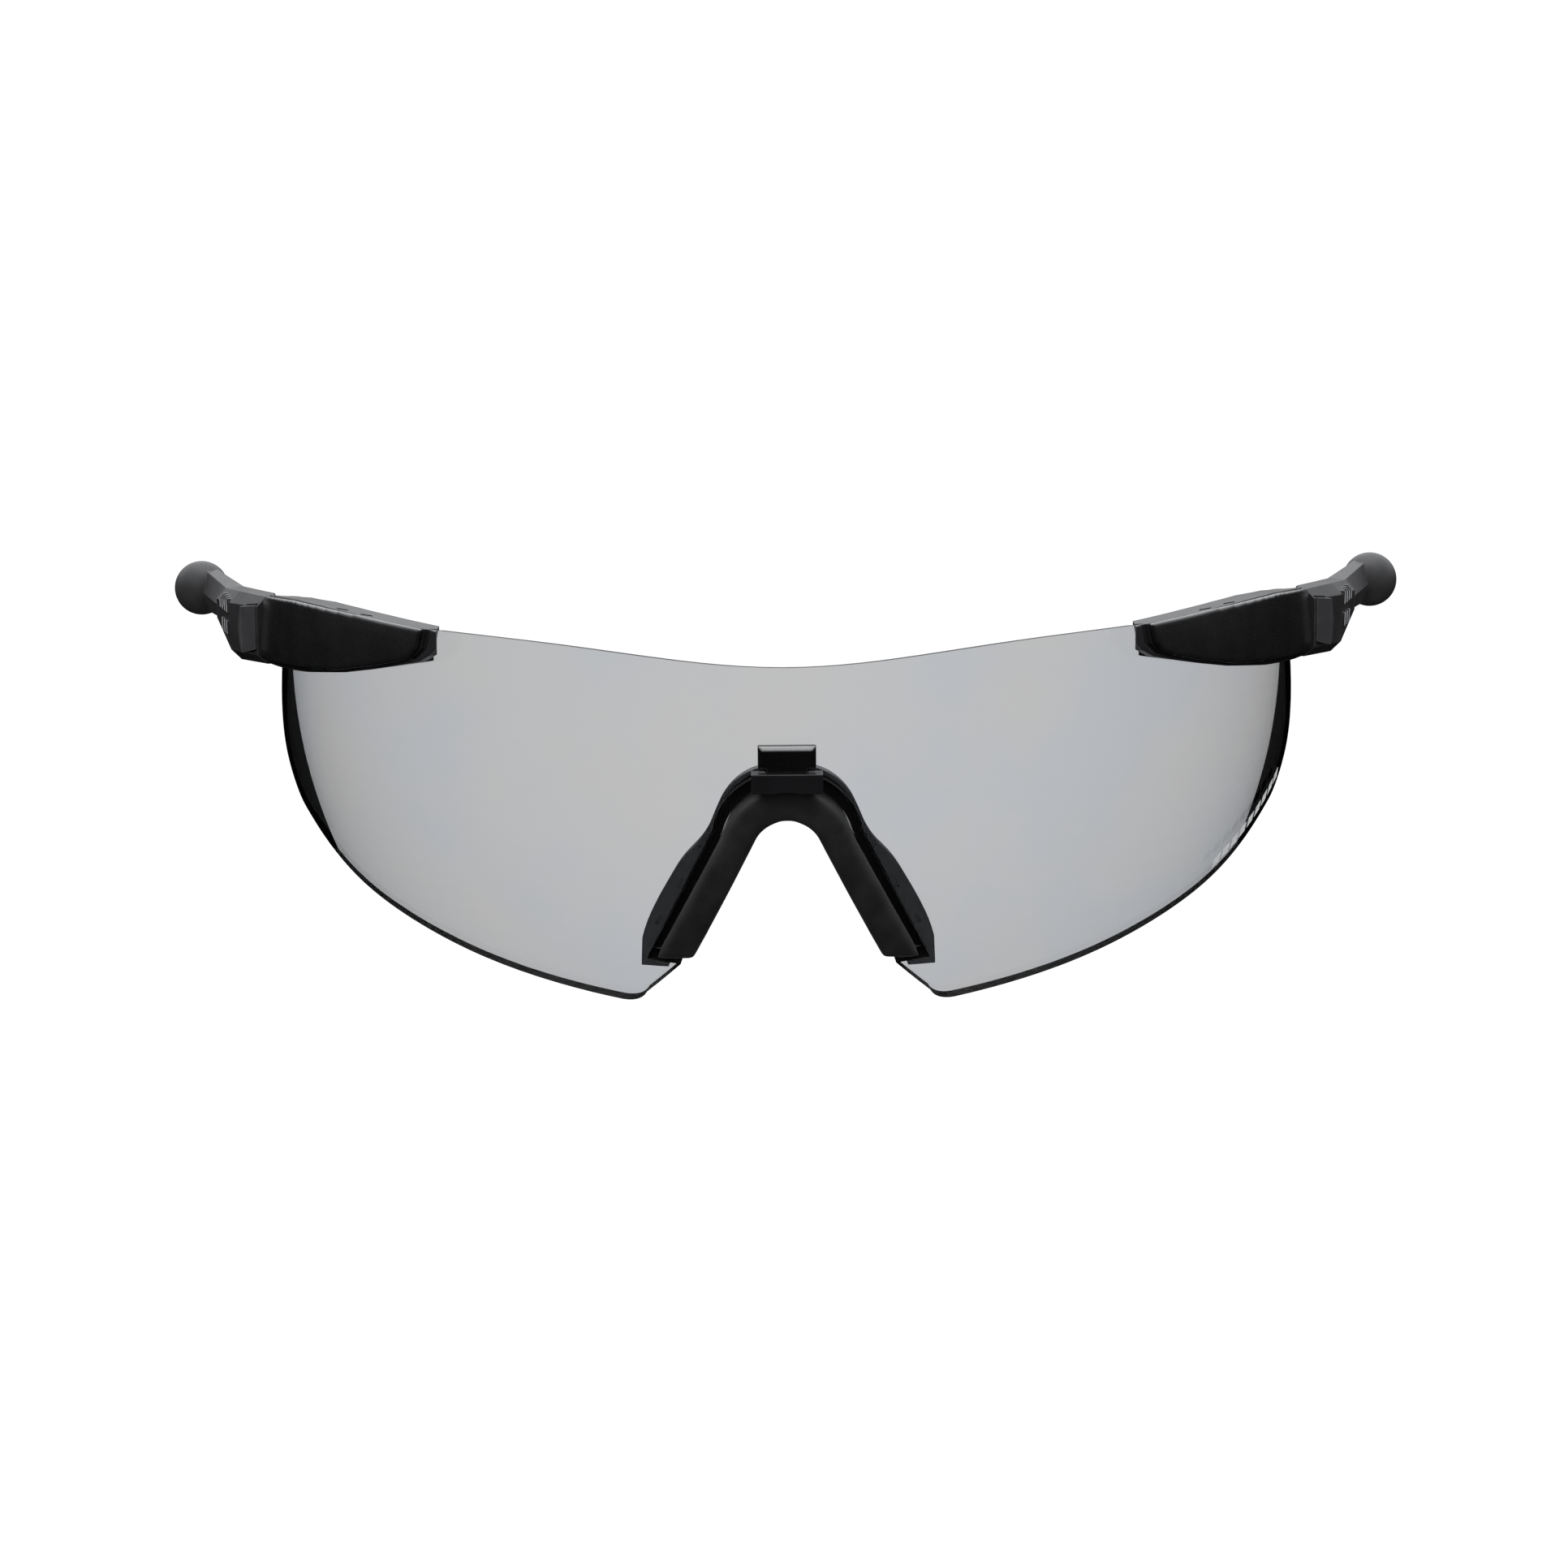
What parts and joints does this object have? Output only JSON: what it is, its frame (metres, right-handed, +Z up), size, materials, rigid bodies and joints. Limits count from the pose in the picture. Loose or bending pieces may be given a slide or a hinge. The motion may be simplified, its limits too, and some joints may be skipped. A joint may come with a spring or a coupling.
{
  "type": "wraparound sport sunglasses front",
  "caption": "Wraparound smoke shield lens with corner pods, folding ball-stud hinge blocks and a soft unhooking nose piece.",
  "frame": {"origin": "where the bridge of the nose meets the pad, on the middle plane, 56 mm ahead of the lens sphere's centre", "axes": "+X to the wearer's left, +Y back towards the ears, +Z up; the lens faces -Y"},
  "size_m": [0.159, 0.0837, 0.0458],
  "materials": {
    "lens": "clear smoke polycarbonate",
    "frame": "satin moulded nylon",
    "cover": "semi-gloss black",
    "block": "satin dark grey",
    "steel": "plain",
    "magnet": "nickel plated",
    "rubber": "matte"
  },
  "bodies": {
    "lens": {"lens": "lens", "lens_magnets_left": "magnet", "lens_magnets_right": "magnet"},
    "pod_left": {"pod_body_left": "frame", "pod_cover_left": "cover", "cover_pins_left": "frame", "pod_magnets_left": "magnet", "hinge_pin_left": "steel"},
    "block_left": {"hinge_block_left": "block", "button_spring_left": "steel"},
    "button_left": {"button_left": "block", "latch_left": "steel"},
    "stud_left": {"ball_stud_left": "block"},
    "pod_right": {"pod_body_right": "frame", "pod_cover_right": "cover", "cover_pins_right": "frame", "pod_magnets_right": "magnet", "hinge_pin_right": "steel"},
    "block_right": {"hinge_block_right": "block", "button_spring_right": "steel"},
    "button_right": {"button_right": "block", "latch_right": "steel"},
    "stud_right": {"ball_stud_right": "block"},
    "nose": {"nose_bracket": "frame", "nose_pad": "rubber", "nose_pad_core": "frame", "nose_clip_pin": "steel"},
    "clip": {"nose_clip": "frame"}
  },
  "joints": [
    {"name": "pod_release_left", "type": "hinge", "parent": "lens", "child": "pod_left", "pos_m": [0, 0.056, 0.011], "axis": [-0.5, -0.866, 0], "range_deg": [0, 9]},
    {"name": "fold_left", "type": "hinge", "parent": "pod_left", "child": "block_left", "pos_m": [0.06295, 0.046, 0.016], "axis": [0, 0, 1], "range_deg": [0, 75]},
    {"name": "press_left", "type": "slide", "parent": "block_left", "child": "button_left", "axis": [-0.8981, 0.4397, 0], "range_m": [0, 0.0005], "stiffness_N_per_m": 400, "deforming": ["button_spring_left"]},
    {"name": "stud_turn_left", "type": "hinge", "parent": "block_left", "child": "stud_left", "pos_m": [0.076, 0.0676, 0.0162], "axis": [0.4397, 0.8981, 0], "range_deg": [-45, 45]},
    {"name": "pod_release_right", "type": "hinge", "parent": "lens", "child": "pod_right", "pos_m": [0, 0.056, 0.011], "axis": [-0.5, 0.866, 0], "range_deg": [0, 9]},
    {"name": "fold_right", "type": "hinge", "parent": "pod_right", "child": "block_right", "pos_m": [-0.06295, 0.046, 0.016], "axis": [0, 0, -1], "range_deg": [0, 75]},
    {"name": "press_right", "type": "slide", "parent": "block_right", "child": "button_right", "axis": [0.8981, 0.4397, 0], "range_m": [0, 0.0005], "stiffness_N_per_m": 400, "deforming": ["button_spring_right"]},
    {"name": "stud_turn_right", "type": "hinge", "parent": "block_right", "child": "stud_right", "pos_m": [-0.076, 0.0676, 0.0162], "axis": [-0.4397, 0.8981, 0], "range_deg": [-45, 45]},
    {"name": "nose_unhook", "type": "hinge", "parent": "lens", "child": "nose", "pos_m": [0, -0.01, 0.0087], "axis": [1, 0, 0], "range_deg": [0, 7]},
    {"name": "clip_tilt", "type": "hinge", "parent": "nose", "child": "clip", "pos_m": [0, -0.0112, 0.0084], "axis": [1, 0, 0], "range_deg": [0, 8], "stiffness_Nm_per_rad": 0.02}
  ]
}
